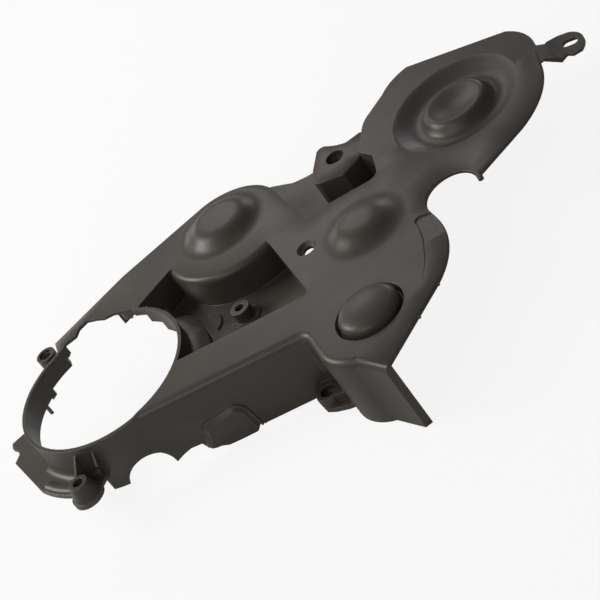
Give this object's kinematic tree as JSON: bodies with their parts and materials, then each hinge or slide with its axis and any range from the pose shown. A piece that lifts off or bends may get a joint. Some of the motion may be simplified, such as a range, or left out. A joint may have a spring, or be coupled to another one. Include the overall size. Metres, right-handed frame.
{
  "type": "lower camshaft cover",
  "caption": "Moulded lower camshaft cover, open at the back, with a crank opening, a bolt pocket, a dished pulley head and a slotted ear.",
  "frame": {"origin": "on the axis of the crank opening, halfway along its lip, 4.5 mm behind the face of the front panel", "axes": "+X from the crank axis to the centre of the dish at the pulley end, +Z out of the front panel, along the crank axis, +Y completes the right-handed frame"},
  "size_m": [0.5278, 0.324, 0.07],
  "materials": {
    "cover_plastic": "fine satin moulding grain, warm dark grey"
  },
  "bodies": {
    "root": {"camshaft_cover": "cover_plastic"}
  },
  "joints": []
}
